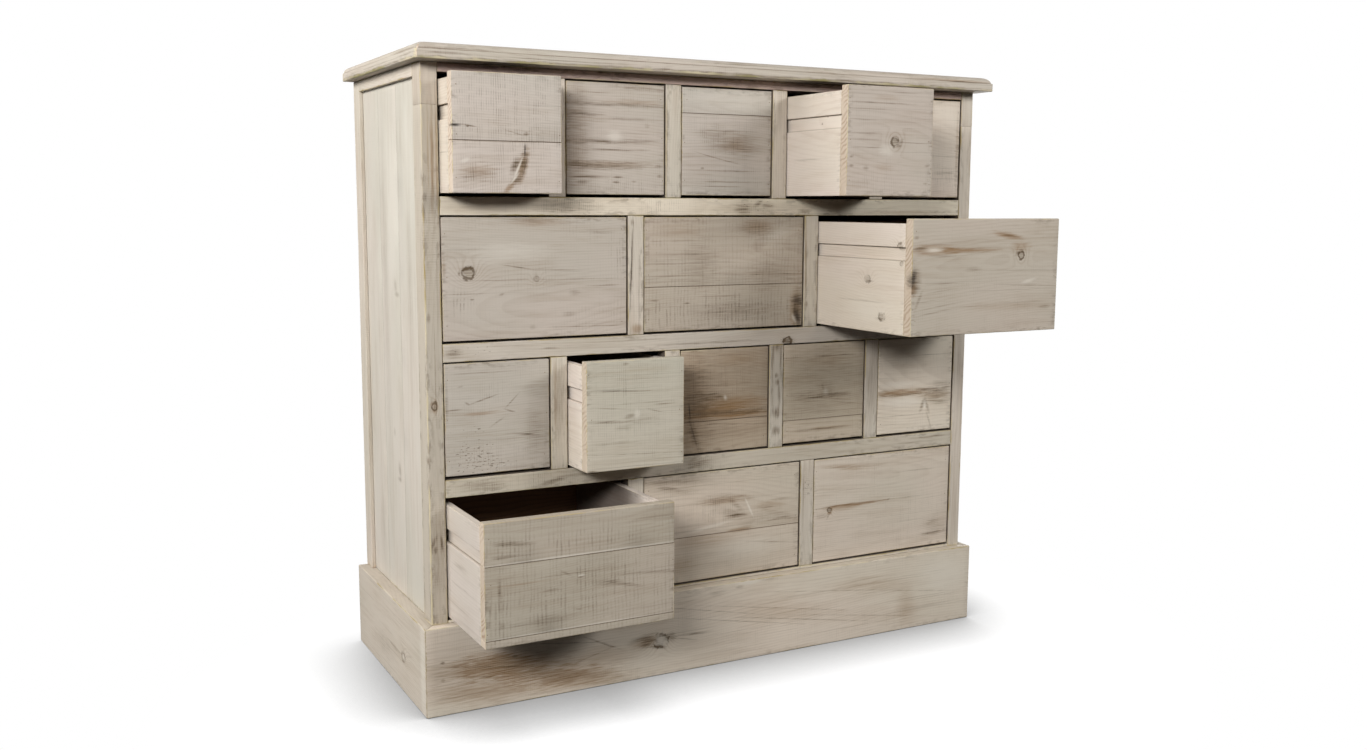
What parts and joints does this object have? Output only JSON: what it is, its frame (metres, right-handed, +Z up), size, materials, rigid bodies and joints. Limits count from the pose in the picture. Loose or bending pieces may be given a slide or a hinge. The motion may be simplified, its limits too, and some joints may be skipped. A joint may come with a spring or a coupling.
{
  "type": "chest of drawers",
  "caption": "Wide whitewashed pine chest on a plinth, with rows of narrow and wide drawers without handles that slide on side runners.",
  "frame": {"origin": "on the floor, at mid width, under the front face of the carcase", "axes": "+X to the right seen from the front, +Y to the back, +Z up"},
  "size_m": [1.086, 0.6555, 1.029],
  "materials": {
    "whitewashed_pine": "worn matt whitewash over pine, with grain, knots and saw marks showing through",
    "drawer_pine": "thin pinkish whitewash over planed pine",
    "bare_pine": "unfinished, darkened pine"
  },
  "bodies": {
    "carcase": {"top_board": "whitewashed_pine", "front_post_left": "whitewashed_pine", "front_post_right": "whitewashed_pine", "side_frame_left": "whitewashed_pine", "side_frame_right": "whitewashed_pine", "side_panel_left": "whitewashed_pine", "side_panel_right": "whitewashed_pine", "front_rail_top": "whitewashed_pine", "front_rail_1": "whitewashed_pine", "front_rail_2": "whitewashed_pine", "front_rail_3": "whitewashed_pine", "plinth_front": "whitewashed_pine", "plinth_left": "whitewashed_pine", "plinth_right": "whitewashed_pine", "base_board": "bare_pine", "back_panel": "bare_pine", "divider_1_1": "whitewashed_pine", "divider_1_2": "whitewashed_pine", "divider_1_3": "whitewashed_pine", "divider_1_4": "whitewashed_pine", "divider_2_1": "whitewashed_pine", "divider_2_2": "whitewashed_pine", "divider_3_1": "whitewashed_pine", "divider_3_2": "whitewashed_pine", "divider_3_3": "whitewashed_pine", "divider_3_4": "whitewashed_pine", "divider_4_1": "whitewashed_pine", "divider_4_2": "whitewashed_pine"},
    "drawer_1_1": {"drawer_1_1_front": "whitewashed_pine", "drawer_1_1_box": "drawer_pine"},
    "drawer_1_2": {"drawer_1_2_front": "whitewashed_pine", "drawer_1_2_box": "drawer_pine"},
    "drawer_1_3": {"drawer_1_3_front": "whitewashed_pine", "drawer_1_3_box": "drawer_pine"},
    "drawer_1_4": {"drawer_1_4_front": "whitewashed_pine", "drawer_1_4_box": "drawer_pine"},
    "drawer_1_5": {"drawer_1_5_front": "whitewashed_pine", "drawer_1_5_box": "drawer_pine"},
    "drawer_2_1": {"drawer_2_1_front": "whitewashed_pine", "drawer_2_1_box": "drawer_pine"},
    "drawer_2_2": {"drawer_2_2_front": "whitewashed_pine", "drawer_2_2_box": "drawer_pine"},
    "drawer_2_3": {"drawer_2_3_front": "whitewashed_pine", "drawer_2_3_box": "drawer_pine"},
    "drawer_3_1": {"drawer_3_1_front": "whitewashed_pine", "drawer_3_1_box": "drawer_pine"},
    "drawer_3_2": {"drawer_3_2_front": "whitewashed_pine", "drawer_3_2_box": "drawer_pine"},
    "drawer_3_3": {"drawer_3_3_front": "whitewashed_pine", "drawer_3_3_box": "drawer_pine"},
    "drawer_3_4": {"drawer_3_4_front": "whitewashed_pine", "drawer_3_4_box": "drawer_pine"},
    "drawer_3_5": {"drawer_3_5_front": "whitewashed_pine", "drawer_3_5_box": "drawer_pine"},
    "drawer_4_1": {"drawer_4_1_front": "whitewashed_pine", "drawer_4_1_box": "drawer_pine"},
    "drawer_4_2": {"drawer_4_2_front": "whitewashed_pine", "drawer_4_2_box": "drawer_pine"},
    "drawer_4_3": {"drawer_4_3_front": "whitewashed_pine", "drawer_4_3_box": "drawer_pine"}
  },
  "joints": [
    {"name": "drawer_1_1_slide", "type": "slide", "parent": "carcase", "child": "drawer_1_1", "axis": [0, -1, 0], "range_m": [-0.0602, 0.2198]},
    {"name": "drawer_1_2_slide", "type": "slide", "parent": "carcase", "child": "drawer_1_2", "axis": [0, -1, 0], "range_m": [0, 0.28]},
    {"name": "drawer_1_3_slide", "type": "slide", "parent": "carcase", "child": "drawer_1_3", "axis": [0, -1, 0], "range_m": [0, 0.28]},
    {"name": "drawer_1_4_slide", "type": "slide", "parent": "carcase", "child": "drawer_1_4", "axis": [0, -1, 0], "range_m": [-0.1764, 0.1036]},
    {"name": "drawer_1_5_slide", "type": "slide", "parent": "carcase", "child": "drawer_1_5", "axis": [0, -1, 0], "range_m": [0, 0.28]},
    {"name": "drawer_2_1_slide", "type": "slide", "parent": "carcase", "child": "drawer_2_1", "axis": [0, -1, 0], "range_m": [0, 0.28]},
    {"name": "drawer_2_2_slide", "type": "slide", "parent": "carcase", "child": "drawer_2_2", "axis": [0, -1, 0], "range_m": [0, 0.28]},
    {"name": "drawer_2_3_slide", "type": "slide", "parent": "carcase", "child": "drawer_2_3", "axis": [0, -1, 0], "range_m": [-0.2632, 0.0168]},
    {"name": "drawer_3_1_slide", "type": "slide", "parent": "carcase", "child": "drawer_3_1", "axis": [0, -1, 0], "range_m": [0, 0.28]},
    {"name": "drawer_3_2_slide", "type": "slide", "parent": "carcase", "child": "drawer_3_2", "axis": [0, -1, 0], "range_m": [-0.0728, 0.2072]},
    {"name": "drawer_3_3_slide", "type": "slide", "parent": "carcase", "child": "drawer_3_3", "axis": [0, -1, 0], "range_m": [0, 0.28]},
    {"name": "drawer_3_4_slide", "type": "slide", "parent": "carcase", "child": "drawer_3_4", "axis": [0, -1, 0], "range_m": [0, 0.28]},
    {"name": "drawer_3_5_slide", "type": "slide", "parent": "carcase", "child": "drawer_3_5", "axis": [0, -1, 0], "range_m": [0, 0.28]},
    {"name": "drawer_4_1_slide", "type": "slide", "parent": "carcase", "child": "drawer_4_1", "axis": [0, -1, 0], "range_m": [-0.1708, 0.1092]},
    {"name": "drawer_4_2_slide", "type": "slide", "parent": "carcase", "child": "drawer_4_2", "axis": [0, -1, 0], "range_m": [0, 0.28]},
    {"name": "drawer_4_3_slide", "type": "slide", "parent": "carcase", "child": "drawer_4_3", "axis": [0, -1, 0], "range_m": [0, 0.28]}
  ]
}
